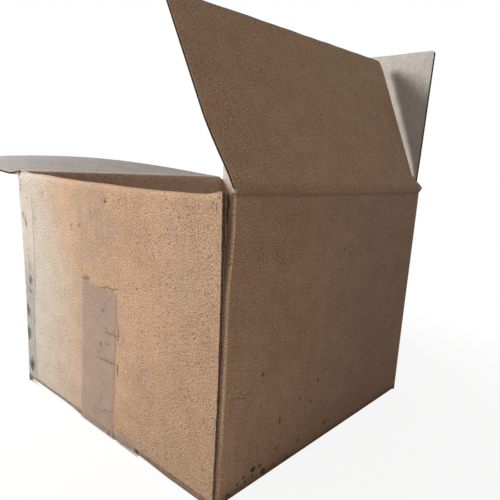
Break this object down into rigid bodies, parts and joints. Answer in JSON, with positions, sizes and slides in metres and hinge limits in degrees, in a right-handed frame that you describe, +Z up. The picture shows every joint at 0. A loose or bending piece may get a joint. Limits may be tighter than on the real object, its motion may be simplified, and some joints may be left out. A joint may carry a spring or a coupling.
{
  "type": "open cardboard box",
  "caption": "Open corrugated cardboard box, erected and taped at the bottom, with hinged top flaps that stand open at different angles.",
  "frame": {"origin": "centre of the base, on the surface that the box stands on", "axes": "+Z up; -Y towards the front panel, whose flap leans in; -X towards the left panel, whose flap is folded into the box"},
  "size_m": [0.272, 0.4107, 0.3401],
  "materials": {
    "board": "matt brown kraft paper, worn and specked",
    "film": "thin clear packing tape, wrinkled and dulled"
  },
  "bodies": {
    "box": {"box_body": "board", "bottom_tape": "film", "second_tape": "film", "corner_tape": "film"},
    "front": {"front_flap": "board"},
    "left": {"left_flap": "board"},
    "right": {"right_flap": "board"},
    "back": {"back_flap": "board"}
  },
  "joints": [
    {"name": "front_fold", "type": "hinge", "parent": "box", "child": "front", "pos_m": [0, -0.138, 0.209], "axis": [1, 0, 0], "range_deg": [-64, 176]},
    {"name": "back_fold", "type": "hinge", "parent": "box", "child": "back", "pos_m": [0, 0.138, 0.209], "axis": [-1, 0, 0], "range_deg": [-176, 64]},
    {"name": "right_fold", "type": "hinge", "parent": "box", "child": "right", "pos_m": [0.136, 0, 0.2051], "axis": [0, 1, 0], "range_deg": [0, 150]},
    {"name": "left_fold", "type": "hinge", "parent": "box", "child": "left", "pos_m": [-0.1306, 0, 0.1997], "axis": [0, -1, 0], "range_deg": [0, 90]}
  ]
}
